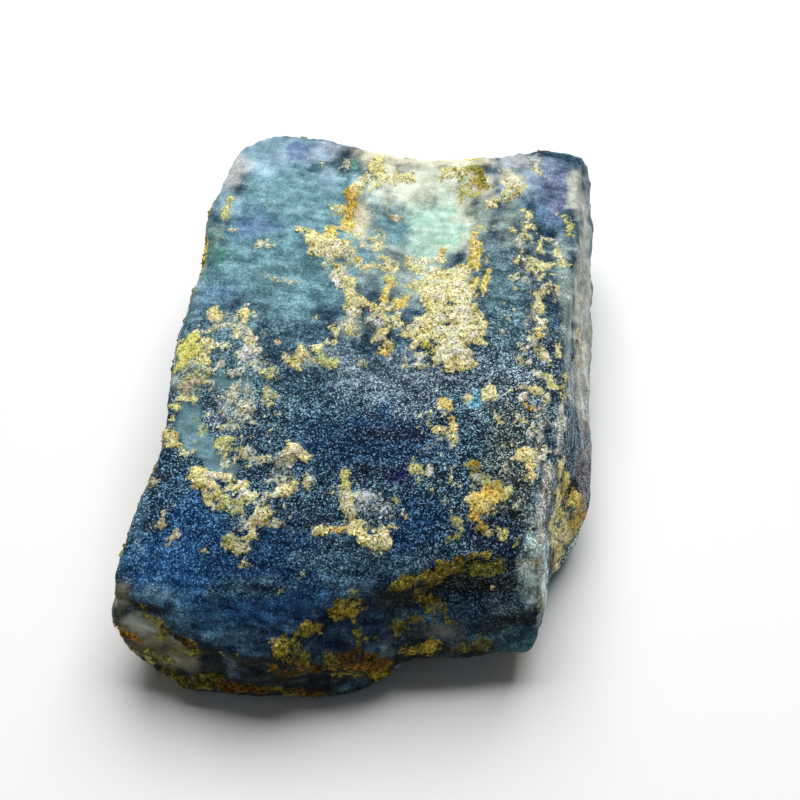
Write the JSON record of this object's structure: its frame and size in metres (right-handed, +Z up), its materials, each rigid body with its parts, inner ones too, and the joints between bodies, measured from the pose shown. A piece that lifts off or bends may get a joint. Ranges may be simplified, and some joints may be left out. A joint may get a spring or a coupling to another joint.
{
  "type": "rough lapis lazuli stone",
  "caption": "Rough slab of blue lapis lazuli lying on its flat underside, with a cleaved top that dips to the front, broken walls and a crumbly pale crust.",
  "frame": {"origin": "middle of the bounding box's bottom face, on the surface that the stone lies on", "axes": "+Z up, +Y along the stone's length towards its higher back edge, +X towards its right-hand side"},
  "size_m": [0.0422, 0.0522, 0.0151],
  "materials": {
    "lapis": "rough"
  },
  "bodies": {
    "root": {"lapis_stone": "lapis"}
  },
  "joints": []
}
